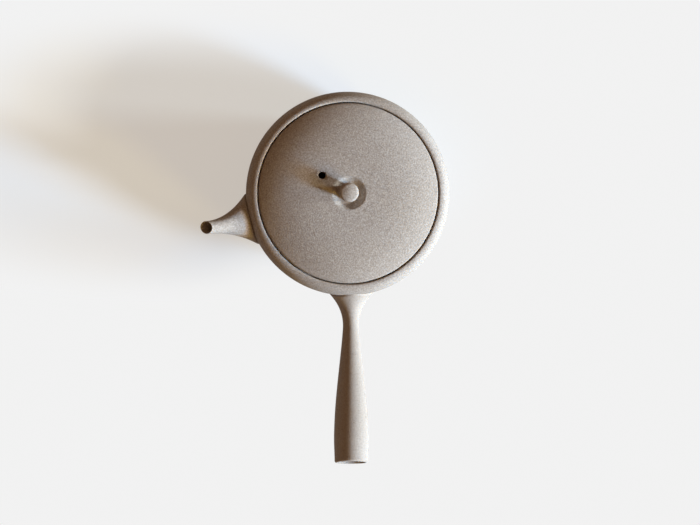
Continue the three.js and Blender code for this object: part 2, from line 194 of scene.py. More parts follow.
def polar(distance: float, bearing: float, height: float) -> Array:
    """The point at a distance from the pot's axis, on a bearing in degrees, at a height."""
    angle = math.radians(bearing)
    return np.array([distance * math.cos(angle), distance * math.sin(angle), height])


def from_axis(points: Array) -> Array:
    """How far points are from the pot's axis."""
    return np.hypot(points[..., 0], points[..., 1])


def heading(bearing: float, tilt: float) -> Array:
    """The unit vector on a bearing, tilted up from the horizontal, both in degrees."""
    return polar(math.cos(math.radians(tilt)), bearing, math.sin(math.radians(tilt)))


def smoothstep(low: float, high: float, value: Array) -> Array:
    """0 below low, 1 above high, and 3x^2 - 2x^3 of the way between."""
    x = np.clip((value - low) / (high - low), 0.0, 1.0)
    return x * x * (3 - 2 * x)


def unit(vectors: Array) -> Array:
    """The vectors at length one."""
    return vectors / np.linalg.norm(vectors, axis=-1, keepdims=True)


def full_turn(steps: int) -> Array:
    """The angles of a full turn in even steps."""
    return np.linspace(0.0, 2 * math.pi, steps, endpoint=False)


def new_object(name: str, data: ID) -> Object:
    """A new object in the scene."""
    thing = bpy.data.objects.new(name, data)
    bpy.context.scene.collection.objects.link(thing)
    return thing


def build_mesh(name: str, points: Array, faces: list[list[int]]) -> Object:
    """A smooth object at the origin with its faces turned outwards.

    The sum over all faces of corner . (next x next but one) is six times the enclosed volume, so a negative
    sum means that the faces point inwards.

    Args:
        name: Name of the object and its mesh.
        points: An (n, 3) array.
        faces: Vertex numbers of each face.

    Returns:
        The new object.
    """
    volume = 0.0
    for count in (3, 4):
        chosen = np.array([face for face in faces if len(face) == count])
        for k in range(1, count - 1) if len(chosen) else ():
            a, b, c = points[chosen[:, 0]], points[chosen[:, k]], points[chosen[:, k + 1]]
            volume += float((a * np.cross(b, c)).sum())
    if volume < 0:
        faces = [face[::-1] for face in faces]
    mesh = bpy.data.meshes.new(name)
    mesh.from_pydata(points.tolist(), [], faces)
    mesh.validate()
    mesh.shade_smooth()
    return new_object(name, mesh)


def ringed_object(name: str, points: Array, columns: int, capped: bool) -> Object:
    """A closed skin of rings joined in order: the last to the first, or each of these two to a pole.

    Args:
        name: Name of the object.
        points: An (n, 3) array of the rings' points, and then the first ring's pole and the last one's.
        columns: How many points a ring has.
        capped: Whether there are poles.

    Returns:
        The new object.
    """
    rows = len(points) // columns
    row = np.arange(rows - 1 if capped else rows)[:, None]
    after = (row + 1) % rows
    column = np.arange(columns)
    beside = (column + 1) % columns
    corners = ((row, column), (row, beside), (after, beside), (after, column))
    faces = np.stack([down * columns + across for down, across in corners], axis=-1).reshape(-1, 4).tolist()
    if capped:
        pole, end = rows * columns, (rows - 1) * columns
        faces += np.stack([beside, column, np.full(columns, pole)], axis=1).tolist()
        faces += np.stack([end + column, end + beside, np.full(columns, pole + 1)], axis=1).tolist()
    return build_mesh(name, points, faces)


def spun_object(name: str, section: Array, columns: int, place: Move | None = None) -> Object:
    """A section from axis to axis, spun about it: the point (r, z) goes to (r cos a, r sin a, z).

    Args:
        name: Name of the object.
        section: An (n, 2) array.
        columns: How many steps the turn is cut into.
        place: What moves the spun points to where they belong, if that isn't on the pot's axis.

    Returns:
        The new object.
    """
    angle = full_turn(columns)
    radius, height = section[1:-1, 0][:, None], section[1:-1, 1][:, None]
    rings = np.stack([radius * np.cos(angle), radius * np.sin(angle), height + 0 * angle], axis=-1)
    poles = [[0.0, 0.0, section[0, 1]], [0.0, 0.0, section[-1, 1]]]
    points = np.concatenate([rings.reshape(-1, 3), poles])
    return ringed_object(name, points if place is None else place(points), columns, capped=True)


def turned_to(direction: Array, start: Array) -> Move:
    """What turns points made about +Z to a direction and moves them to a start.

    Args:
        direction: The unit vector that +Z turns to.
        start: Where the origin goes.

    Returns:
        A function from points to points.
    """
    turn = np.array(Vector((0, 0, 1)).rotation_difference(Vector(direction)).to_matrix())
    return lambda points: points @ turn.T + start


def crossing(curve: Move, below: Move, low: Array, high: Array) -> Array:
    """Where curves pass through a surface, found by halving the interval again and again.

    Args:
        curve: Gives one point of each curve for an array of parameters.
        below: Says of each point whether it is still on the side of the low parameter.
        low: Parameters before the crossing.
        high: Parameters after it.

    Returns:
        The parameters at the crossing.
    """
    for _ in range(BISECTIONS):
        middle = (low + high) / 2
        early = below(curve(middle))
        low, high = np.where(early, middle, low), np.where(early, high, middle)
    return (low + high) / 2


def cut_away(thing: Object, cutter: Object) -> None:
    """Takes the cutter, a closed shape, out of the thing for good, and deletes the cutter."""
    cut = thing.modifiers.new("cut", "BOOLEAN")
    cut.operation = "DIFFERENCE"
    cut.solver = "EXACT"
    cut.object = cutter
    bpy.context.view_layer.update()
    fresh = bpy.data.meshes.new_from_object(thing.evaluated_get(bpy.context.evaluated_depsgraph_get()))
    thing.modifiers.clear()
    old = thing.data
    thing.data = fresh
    fresh.name = thing.name
    bpy.data.meshes.remove(old)
    bpy.data.objects.remove(cutter)


# Finishes


@dataclass(frozen=True)
class Noise:
    """A cloudy noise: its features in a metre, how many finer layers it has and how strong they are."""

    scale: float
    detail: float
    rough: float


class Tree:
    """The node tree of a material or world, with short ways to add and link nodes."""

    def __init__(self, owner: Material | World) -> None:
        """Empties the tree of its owner."""
        owner.use_nodes = True
        self.nodes = owner.node_tree.nodes
        self.links = owner.node_tree.links
        self.nodes.clear()

    def add(self, kind: str, inputs: dict | None = None, **settings: object) -> Node:
        """Adds a node of a kind, with values or sockets for its inputs, and with its settings."""
        node = self.nodes.new(kind)
        for key, value in settings.items():
            setattr(node, key, value)
        for key, value in (inputs or {}).items():
            if isinstance(value, NodeSocket):
                self.links.new(value, node.inputs[key])
            else:
                node.inputs[key].default_value = value
        return node

    def seen(self) -> NodeSocket:
        """1 where the camera, a gloss or a glass looks, and 0 where light is gathered."""
        path = self.add("ShaderNodeLightPath").outputs
        looks = path["Is Camera Ray"]
        for name in ("Is Glossy Ray", "Is Transmission Ray"):
            larger = self.add("ShaderNodeMath", {0: looks, 1: path[name]}, operation="MAXIMUM")
            looks = larger.outputs["Value"]
        return looks

    def noise(self, place: NodeSocket, noise: Noise) -> NodeSocket:
        """A noise between 0 and 1, read at a place."""
        inputs = {"Vector": place, "Scale": noise.scale, "Detail": noise.detail, "Roughness": noise.rough}
        return self.add("ShaderNodeTexNoise", inputs).outputs["Fac"]

    def ramp(self, value: NodeSocket, span: Pair, to: Pair) -> NodeSocket:
        """A value taken from one span to another, and held at its ends."""
        inputs = {"Value": value, "From Min": span[0], "From Max": span[1], "To Min": to[0], "To Max": to[1]}
        return self.add("ShaderNodeMapRange", inputs).outputs["Result"]

    def mix(self, share: NodeSocket, first: NodeSocket | tuple, second: NodeSocket | tuple) -> NodeSocket:
        """One colour mixed with a share of another, each of them three numbers or a socket."""
        pair = [value if isinstance(value, NodeSocket) else (*value, 1.0) for value in (first, second)]
        inputs = {0: share, 6: pair[0], 7: pair[1]}
        return self.add("ShaderNodeMix", inputs, data_type="RGBA", clamp_factor=True).outputs[2]


@dataclass(frozen=True)
class BareClay:
    """Unglazed stoneware: a matt taupe body full of fine sand, with light and dark grains at its surface.

    A span holds the noise values between which something goes from none to all of its share.
    """

    name: str
    colour: Triple = (0.385, 0.345, 0.312)
    dark_grain: Triple = (0.235, 0.2, 0.172)
    light_grain: Triple = (0.56, 0.52, 0.48)
    warm_patch: Triple = (0.372, 0.325, 0.283)
    grain: Noise = Noise(1150.0, 3.0, 0.7)
    specks: Noise = Noise(560.0, 1.5, 0.5)
    patches: Noise = Noise(26.0, 3.0, 0.55)
    dark_span: Pair = (0.49, 0.33)
    light_span: Pair = (0.52, 0.68)
    speck_span: Pair = (0.36, 0.28)
    even_span: Pair = (0.35, 0.65)
    contrast: float = 0.75
    speck_share: float = 0.5
    bump: float = 0.9
    bump_height: float = 0.17 * MM
    roughness: Pair = (0.8, 0.95)
    specular: float = 0.04
    offset: Triple = (0.0, 0.0, 0.0)

    def material(self) -> Material:
        """The finish as a material: patches, then dark and light grains, then dark specks."""
        material = bpy.data.materials.new(self.name)
        tree = Tree(material)
        place = tree.add("ShaderNodeTexCoord").outputs["Object"]
        place = tree.add("ShaderNodeMapping", {"Vector": place, "Location": self.offset}).outputs["Vector"]
        grain = tree.noise(place, self.grain)
        patches = tree.ramp(tree.noise(place, self.patches), self.even_span, (0.0, 1.0))
        colour = tree.mix(patches, self.colour, self.warm_patch)
        layers = (
            (grain, self.dark_span, self.contrast, self.dark_grain),
            (grain, self.light_span, self.contrast, self.light_grain),
            (tree.noise(place, self.specks), self.speck_span, self.speck_share, self.dark_grain),
        )
        for noise, span, share, layer in layers:
            colour = tree.mix(tree.ramp(noise, span, (0.0, share)), colour, layer)
        relief = {"Height": grain, "Strength": self.bump, "Distance": self.bump_height}
        inputs = {
            "Base Color": colour,
            "Roughness": tree.ramp(grain, self.even_span, self.roughness),
            "Specular IOR Level": self.specular,
            "Normal": tree.add("ShaderNodeBump", relief).outputs["Normal"],
        }
        shader = tree.add("ShaderNodeBsdfPrincipled", inputs).outputs["BSDF"]
        tree.add("ShaderNodeOutputMaterial", {"Surface": shader})
        return material


@dataclass(frozen=True)
class PaleFloor:
    """The plain pale floor, burnt out to even white away from the shadow beside the pot.

    What the camera sees is part glow and part lit. The lit share fades out between two distances from a
    middle, with the distance along X counted less than the distance along Y.
    """

    lit: Triple = (0.38, 0.44, 0.49)
    glow: Triple = (0.5, 0.47, 0.435)
    white: Triple = (0.885, 0.885, 0.885)
    bounce: Triple = (0.42, 0.39, 0.36)
    middle: Pair = (-113 * MM, 29 * MM)
    count: Pair = (0.4, 1.0)
    near: float = 45 * MM
    far: float = 95 * MM

    def material(self) -> Material:
        """The finish as a material."""
        material = bpy.data.materials.new("pale_floor")
        tree = Tree(material)
        seen = tree.seen()
        place = tree.add("ShaderNodeTexCoord").outputs["Object"]
        offset = [-way * count for way, count in zip(self.middle, self.count)]
        inputs = {"Vector": place, "Location": (*offset, 0.0), "Scale": (*self.count, 1.0)}
        away = tree.add("ShaderNodeMapping", inputs).outputs["Vector"]
        span = tree.add("ShaderNodeVectorMath", {0: away}, operation="LENGTH").outputs["Value"]
        limits = {"Value": span, "From Min": self.near, "From Max": self.far}
        fade = tree.add("ShaderNodeMapRange", limits, interpolation_type="SMOOTHSTEP").outputs["Result"]
        colour = tree.mix(seen, self.bounce, tree.mix(fade, self.lit, BLACK))
        matt = tree.add("ShaderNodeBsdfDiffuse", {"Color": colour}).outputs["BSDF"]
        shine = tree.mix(fade, self.glow, self.white)
        glow = tree.add("ShaderNodeEmission", {"Color": shine, "Strength": seen}).outputs["Emission"]
        both = tree.add("ShaderNodeAddShader", {0: matt, 1: glow}).outputs["Shader"]
        tree.add("ShaderNodeOutputMaterial", {"Surface": both})
        return material


# The teapot


@dataclass
class Pot:
    """The thrown pot: foot, round belly, tight shoulder, rounded rim and the ledge that carries the lid."""

    radius: float
    height: float
    rim_inner_round: float = 0.55 * MM
    rim_outer_round: float = 4.6 * MM
    seat_radius: float = 53.5 * MM
    shoulder_drop: float = 12 * MM
    shoulder_slope: float = 36.0
    shoulder_pull: float = 5 * MM
    crest_pull: float = 2.5 * MM
    wall: float = 3.4 * MM
    floor: float = 4 * MM
    floor_radius: float = 34 * MM
    foot_radius: float = 39 * MM
    foot_width: float = 5 * MM
    foot_recess: float = 0.9 * MM
    foot_sweep: float = 13 * MM
    foot_lift: float = 3 * MM
    belly_pull: float = 28 * MM
    lid_edge_drop: float = 0.3 * MM
    ledge_drop: float = 3.9 * MM
    ledge_width: float = 4.2 * MM
    ledge_thickness: float = 2.6 * MM
    ledge_slope: float = 2 * MM
    hole_radius: float = 7 * MM
    hole_bearing: float = 193.0
    hole_drop: float = 5.4 * MM
    hole_reach: float = 12 * MM
    ridge_height: float = 0.16 * MM
    ridge_pitch: float = 5.5 * MM
    ridge_fade: float = 12 * MM
    inside_steps: int = 160
    softness: float = 0.35 * MM

    @property
    def widest_height(self) -> float:
        """Height of the widest place."""
        return self.height - self.shoulder_drop

    @property
    def inner_radius(self) -> float:
        """Radius of the inside at the widest place."""
        return self.radius - self.wall

    @property
    def crest_radius(self) -> float:
        """Radius of the rim's crest."""
        return self.seat_radius + self.rim_inner_round

    @property
    def hole_height(self) -> float:
        """Height of the middle of the hole that leads to the spout."""
        return self.widest_height - self.hole_drop

    def outside(self, section: Section) -> Section:
        """Adds the outside from the foot's edge to the rim's outer edge.

        It is two cubic curves, which meet upright at the widest place.

        Args:
            section: The section so far, which ends at the foot's edge.

        Returns:
            The section.
        """
        slope = math.radians(self.shoulder_slope)
        across, down = math.cos(slope), math.sin(slope)
        edge_radius = self.crest_radius + self.rim_outer_round * down
        edge_height = self.height - self.rim_outer_round * (1 - across)
        section.curve(
            (self.foot_radius + self.foot_sweep, self.foot_lift),
            (self.radius, self.widest_height - self.belly_pull),
            (self.radius, self.widest_height),
        )
        return section.curve(
            (self.radius, self.widest_height + self.shoulder_pull),
            (edge_radius + self.crest_pull * across, edge_height - self.crest_pull * down),
            (edge_radius, edge_height),
        )

    def inside(self) -> Array:
        """The inside from under the ledge down to the flat floor, with the ridges of the thrower's fingers.

        A point of the cubic curve, a length s along it, moves into the pot by half the ridges' height times
        1 - cos(2 pi s / pitch), and the ridges fade out towards both ends.

        Returns:
            An (n, 2) array.
        """
        top = self.height - self.ledge_drop - self.ledge_thickness - self.ledge_slope
        drawn = Section().to((self.inner_radius, top)).curve(
            (self.inner_radius, self.widest_height - self.belly_pull),
            (self.floor_radius + self.foot_sweep, self.floor),
            (self.floor_radius, self.floor),
            count=self.inside_steps,
        )
        points = drawn.raw()
        along = lengths_along(points)
        way = np.gradient(points, axis=0)
        across = unit(np.stack([-way[:, 1], way[:, 0]], axis=1))
        fade = smoothstep(0.0, self.ridge_fade, along) * smoothstep(0.0, self.ridge_fade, along[-1] - along)
        ridge = self.ridge_height * fade * (0.5 - 0.5 * np.cos(2 * math.pi * along / self.ridge_pitch))
        return points - across * ridge[:, None] * np.sign(across[0, 0])

    def wall_radius(self, height: Array) -> Array:
        """Outer radius at a height, for what is stuck onto the wall."""
        line = self.outside(Section().to((self.foot_radius, 0.0))).raw()
        return np.interp(height, line[:, 1], line[:, 0])

    def inner_wall_radius(self, height: Array) -> Array:
        """Inner radius at a height, for what is stuck inside."""
        line = self.inside()[::-1]
        return np.interp(height, line[:, 1], line[:, 0])

    def section(self) -> Array:
        """The whole section, from the axis under the foot, up outside, over the rim and down inside."""
        ledge_top = self.height - self.ledge_drop
        ledge = self.seat_radius - self.ledge_width
        foot = self.foot_radius - self.foot_width
        drawn = Section().to((0.0, self.foot_recess), (foot - self.foot_recess, self.foot_recess))
        drawn.to((foot, 0.0), (self.foot_radius, 0.0))
        self.outside(drawn)
        rim = ((self.rim_outer_round, 90 - self.shoulder_slope, 90), (self.rim_inner_round, 90, 180))
        for radius, start, stop in rim:
            drawn.arc((self.crest_radius, self.height - radius), radius, start, stop)
        drawn.to((self.seat_radius, ledge_top), (ledge, ledge_top))
        drawn.to((ledge, ledge_top - self.ledge_thickness), *self.inside(), (0.0, self.floor))
        return drawn.softened(self.softness)

    def build(self) -> Object:
        """Spins the pot and cuts the hole that leads to the spout."""
        pot = spun_object("stoneware_pot", self.section(), ROUND_COLUMNS)
        hole = rod_section(self.hole_radius, 0.0, 2 * self.hole_reach + self.wall)
        start = polar(self.inner_radius - self.hole_reach, self.hole_bearing, self.hole_height)
        place = turned_to(heading(self.hole_bearing, 0), start)
        cut_away(pot, spun_object("hole", hole, TUBE_COLUMNS, place))
        return pot


@dataclass
class Tube:
    """A hollow round limb of clay, stuck onto the pot's wall: a middle line with a radius along it.

    In its methods t is an array of places along the middle line, 0 at the root and 1 at the open end, and
    they give a value or a point for each t. The search holds a t inside the pot, one between the wall and
    the end, and one past the end.
    """

    pot: Pot
    name: str = ""
    sink: float = 0.8 * MM
    groove_depth: float = 1 * MM
    groove_width: float = 0.6 * MM
    outer_rows: int = 110
    inner_rows: int = 56
    lip_rows: int = 11
    crowding: float = 1.5
    search: Triple = (-0.1, 0.6, 1.3)
    lip_start: float = 0.85
    root_depth: float = 12 * MM
    flare_past: float = 4 * MM

    def middle(self, t: Array) -> Array:
        """Points of the middle line."""
        raise NotImplementedError

    def facing(self, t: Array) -> Array:
        """Unit vectors along which the rings face."""
        raise NotImplementedError

    def radii(self, t: Array) -> tuple[Array, Array, Array]:
        """Outer radii sideways, upwards and downwards."""
        raise NotImplementedError

    def thickness(self, t: Array) -> Array:
        """Thickness of the wall."""
        raise NotImplementedError

    def end_plane(self) -> tuple[Array, Array]:
        """A point and the normal of the plane that cuts the open end."""
        raise NotImplementedError

    def surface(self, t: Array, angle: Array, inside: bool) -> Array:
        """Points of the limb: middle + radius cos a side + rise sin a up, both square to the facing.

        Below the middle line the fall takes the place of the rise.

        Args:
            t: Where along the middle line.
            angle: Where round it.
            inside: Whether the points lie on the bore instead of the outside.

        Returns:
            The points.
        """
        facing = self.facing(t)
        side = unit(np.cross(UP, facing))
        up = np.cross(facing, side)
        radius, rise, fall = self.radii(t)
        wall = self.thickness(t) if inside else 0.0
        across = (radius - wall) * np.cos(angle)
        high = (np.where(np.sin(angle) > 0, rise, fall) - wall) * np.sin(angle)
        return self.middle(t) + across[..., None] * side + high[..., None] * up

    def grooved(self, t: Array, points: Array) -> Array:
        """Points of the outside with the narrow groove that is left where the limb is stuck to the wall.

        A point that is d away from the wall moves towards the middle line by depth exp(-(d / width)^2).

        Args:
            t: Where along the middle line each point lies.
            points: The points.

        Returns:
            The moved points.
        """
        clear = from_axis(points) - self.pot.wall_radius(points[..., 2])
        pull = self.groove_depth * np.exp(-((clear / self.groove_width) ** 2))
        return points + pull[..., None] * unit(self.middle(t) - points)

    def stretch(self, angle: Array, inside: bool, rows: int) -> Array:
        """Rings from inside the pot's wall to the open end, closest together at the wall.

        Args:
            angle: The ring's angles.
            inside: Whether it is the bore.
            rows: How many rings.

        Returns:
            A (rows, columns, 3) array.
        """
        point, normal = self.end_plane()

        def line(t: Array) -> Array:
            return self.surface(t, angle, inside)

        def in_wall(points: Array) -> Array:
            return from_axis(points) < self.pot.wall_radius(points[:, 2]) - self.sink

        def before_end(points: Array) -> Array:
            return (points - point) @ normal < 0

        in_pot, between, past = (t * np.ones_like(angle) for t in self.search)
        root = crossing(line, in_wall, in_pot, between)
        end = crossing(line, before_end, between, past)
        share = np.linspace(0.0, 1.0, rows)[:, None] ** self.crowding
        t = root + (end - root) * share
        points = self.surface(t, np.broadcast_to(angle, t.shape), inside)
        return points if inside else self.grooved(t, points)

    def rings(self) -> Array:
        """The whole limb: outside to the end, half a turn over the lip, and back along the bore."""
        angle = full_turn(TUBE_COLUMNS)
        outer = self.stretch(angle, False, self.outer_rows)
        inner = self.stretch(angle, True, self.inner_rows)[::-1]
        normal = self.end_plane()[1]
        turn = np.linspace(0.0, math.pi, self.lip_rows)[1:-1, None, None]
        half = (outer[-1] - inner[0]) / 2
        bulge = np.linalg.norm(half, axis=-1, keepdims=True) * normal
        lip = (outer[-1] + inner[0]) / 2 + half * np.cos(turn) + bulge * np.sin(turn)
        lip_sink = bulge.mean(axis=0)
        fade = smoothstep(self.lip_start, 1.0, np.linspace(0.0, 1.0, self.outer_rows))[:, None, None]
        back = smoothstep(self.lip_start, 1.0, np.linspace(1.0, 0.0, self.inner_rows))[:, None, None]
        return np.concatenate([outer - fade * lip_sink, lip - lip_sink, inner - back * lip_sink])

    def build(self) -> Object:
        """The limb as an object."""
        return ringed_object(self.name, np.concatenate(self.rings()), TUBE_COLUMNS, capped=False)


@dataclass
class Spout(Tube):
    """The spout: a short, climbing trumpet with a wide oval root and a thin, cut mouth."""

    name: str = "stoneware_spout"
    bearing: float = 193.0
    bend_bearing: float = 194.5
    length: float = 24.6 * MM
    tip_lift: float = 2 * MM
    root_drop: float = 10 * MM
    bend_reach: float = 12 * MM
    bend_rise: float = 15.5 * MM
    tip_radius: float = 3.75 * MM
    lip: float = 0.45 * MM
    wall: float = 3 * MM
    flare: float = 10.7 * MM
    flare_up: float = 6.6 * MM
    flare_power: float = 2.1
    flare_up_power: float = 1.1
    cut_tilt: float = 60.0

    def corners(self) -> tuple[Array, Array, Array]:
        """The root, the bend and the tip that shape the middle line."""
        root_height = self.pot.widest_height - self.root_drop
        root = polar(self.pot.radius - self.root_depth, self.bearing, root_height)
        bend = polar(self.pot.radius + self.bend_reach, self.bend_bearing, root_height + self.bend_rise)
        tip = polar(self.pot.radius + self.length, self.bearing, self.pot.height + self.tip_lift)
        return root, bend, tip

    def middle(self, t: Array) -> Array:
        """The quadratic curve (1-t)^2 root + 2t(1-t) bend + t^2 tip."""
        root, bend, tip = self.corners()
        t = t[..., None]
        return (1 - t) ** 2 * root + 2 * t * (1 - t) * bend + t**2 * tip

    def share(self, t: Array) -> Array:
        """How far back from the mouth each t lies, 1 at the pot's widest radius."""
        back = self.pot.radius + self.length - from_axis(self.middle(t))
        return np.clip(back, 0.0, self.length + self.flare_past) / self.length

    def facing(self, t: Array) -> Array:
        """Along the middle line at the mouth, turning level at the wall."""
        root, bend, tip = self.corners()
        along = unit(2 * (1 - t[..., None]) * (bend - root) + 2 * t[..., None] * (tip - bend))
        level = smoothstep(0.0, 1.0, self.share(t))[..., None]
        return unit(along + level * (heading(self.bearing, 0) - along))

    def radii(self, t: Array) -> tuple[Array, Array, Array]:
        """The tip's radius plus a flare that grows with a power of the way back to the wall.

        Upwards and downwards the flare is smaller and straighter.
        """
        share = self.share(t)
        high = self.tip_radius + self.flare_up * share**self.flare_up_power
        return self.tip_radius + self.flare * share**self.flare_power, high, high

    def thickness(self, t: Array) -> Array:
        """Thin at the lip, thick at the wall."""
        return self.lip + (self.wall - self.lip) * np.clip(self.share(t), 0.0, 1.0)

    def end_plane(self) -> tuple[Array, Array]:
        """The mouth's face, which looks up and out."""
        return self.corners()[2], heading(self.bearing, self.cut_tilt)


@dataclass
class Handle(Tube):
    """The side handle: thrown hollow, flared at the pot, drawn in to a neck and swelling to an open end."""

    name: str = "stoneware_handle"
    bearing: float = -91.0
    root_bearing: float = -88.6
    level_length: float = 96.4 * MM
    tilt: float = 18.0
    root_drop: float = 11 * MM
    root_radius: float = 12.8 * MM
    root_rise: float = 17 * MM
    flare_power: float = 2.2
    neck_radius: float = 4.8 * MM
    neck_distance: float = 20 * MM
    end_radius: float = 10.15 * MM
    lip_radius: float = 9.8 * MM
    swell_share: float = 0.84
    swell_power: float = 1.25
    wall: float = 2.2 * MM

    @property
    def length(self) -> float:
        """Length along the handle, from the pot's widest radius."""
        return self.level_length / math.cos(math.radians(self.tilt))

    def distance(self, t: Array) -> Array:
        """Distance along the handle from the pot's widest radius."""
        return -self.root_depth + t * (self.length + self.root_depth)

    def middle(self, t: Array) -> Array:
        """A straight line that climbs away from the pot."""
        root = polar(self.pot.radius, self.root_bearing, self.pot.widest_height - self.root_drop)
        return root + self.distance(t)[..., None] * heading(self.bearing, self.tilt)

    def facing(self, t: Array) -> Array:
        """Level at the wall, turning along the handle by the neck."""
        along = smoothstep(0.0, self.neck_distance, self.distance(t))[..., None]
        level = heading(self.bearing, 0)
        return unit(level + along * (heading(self.bearing, self.tilt) - level))

    def reach(self, t: Array, root: float) -> Array:
        """Outer radius in one direction.

        It is the neck's radius, plus a flare to a power at the root, plus a quarter sine wave from the neck
        to the end, less a slight tuck at the lip.

        Args:
            t: Where along the middle line.
            root: What the radius is at the pot's widest radius.

        Returns:
            The radius at each t.
        """
        distance = self.distance(t)
        back = 1 - np.clip(distance, -self.flare_past, self.neck_distance) / self.neck_distance
        flare = (root - self.neck_radius) * back**self.flare_power
        along = np.clip((distance - self.neck_distance) / (self.length - self.neck_distance), 0.0, 1.0)
        swell = np.sin(math.pi / 2 * np.clip(along / self.swell_share, 0.0, 1.0) ** self.swell_power)
        tuck = (self.end_radius - self.lip_radius) * smoothstep(self.swell_share, 1.0, along)
        return self.neck_radius + flare + (self.end_radius - self.neck_radius) * swell - tuck

    def radii(self, t: Array) -> tuple[Array, Array, Array]:
        """The reaches, of which the one upwards is larger: the root is drawn up onto the pot's shoulder."""
        aside = self.reach(t, self.root_radius)
        return aside, self.reach(t, self.root_rise), aside

    def thickness(self, t: Array) -> Array:
        """The same all along."""
        return np.full(t.shape, self.wall)

    def end_plane(self) -> tuple[Array, Array]:
        """The open end, square to the handle."""
        return self.middle(np.array([1.0]))[0], heading(self.bearing, self.tilt)


@dataclass
class Strainer:
    """The pierced cap of clay inside the pot, over the hole that leads to the spout."""

    pot: Pot
    overlap: float = 1.6 * MM
    height: float = 7 * MM
    wall: float = 1.6 * MM
    sink: float = 0.6 * MM
    hole_radius: float = 0.45 * MM
    hole_margin: float = 1.3 * MM
    rings: int = 4
    first_ring: int = 6
    rows: int = 40

    @property
    def ball(self) -> float:
        """Radius of the ball that the cap is a piece of: (a^2 + h^2) / 2h."""
        across = self.pot.hole_radius + self.overlap
        return (across**2 + self.height**2) / (2 * self.height)

    @property
    def middle(self) -> Array:
        """Centre of that ball."""
        reach = self.pot.inner_radius + self.ball - self.height
        return polar(reach, self.pot.hole_bearing, self.pot.hole_height)

    @property
    def inwards(self) -> Array:
        """The way that the cap bulges, from the wall towards the pot's axis."""
        return -heading(self.pot.hole_bearing, 0)

    def cap(self, angle: Array, radius: float) -> Array:
        """One skin of the cap, from its pole to inside the pot's wall.

        A point is middle + radius (inwards cos s + side sin s cos a + up sin s sin a), and s runs from 0 to
        where the skin has sunk into the wall.

        Args:
            angle: The angles a round the cap.
            radius: The skin's radius.

        Returns:
            A (rows, columns, 3) array without the pole.
        """
        side = unit(np.cross(UP, self.inwards))
        around = side * np.cos(angle)[:, None] + UP * np.sin(angle)[:, None]

        def skin(lean: Array) -> Array:
            way = self.inwards * np.cos(lean)[:, None] + around * np.sin(lean)[:, None]
            return self.middle + radius * way

        def clear_of_wall(points: Array) -> Array:
            return from_axis(points) < self.pot.inner_wall_radius(points[:, 2]) + self.sink

        ones = np.ones_like(angle)
        last = crossing(skin, clear_of_wall, 0.0 * ones, math.pi / 2 * ones)
        return np.stack([skin(last * share) for share in np.linspace(0.0, 1.0, self.rows)[1:]])

    def holes(self) -> Object:
        """The pegs that pierce the cap, as one object: one in the middle and rings of them round it."""
        turn = turned_to(self.inwards, np.zeros(3))
        widest = math.asin((self.pot.hole_radius - self.hole_margin) / self.ball)
        peg = rod_section(self.hole_radius, -2 * self.wall, self.wall)
        pegs = []
        for ring in range(self.rings + 1):
            count = max(1, self.first_ring * ring)
            lean = widest * ring / self.rings
            for around in full_turn(count):
                way = turn(polar(math.sin(lean), math.degrees(around), math.cos(lean)))
                place = turned_to(way, self.middle + way * self.ball)
                pegs.append(spun_object("peg", peg, PEG_COLUMNS, place))
        with bpy.context.temp_override(active_object=pegs[0], selected_editable_objects=pegs):
            bpy.ops.object.join()
        return pegs[0]

    def build(self) -> Object:
        """Joins the cap's two skins at its edge and pierces it."""
        angle = full_turn(SMALL_COLUMNS)
        skins = (self.cap(angle, self.ball), self.cap(angle, self.ball - self.wall)[::-1])
        poles = [self.middle + self.inwards * radius for radius in (self.ball, self.ball - self.wall)]
        points = np.concatenate([*np.concatenate(skins), poles])
        cap = ringed_object("pierced_strainer", points, SMALL_COLUMNS, capped=True)
        cut_away(cap, self.holes())
        return cap


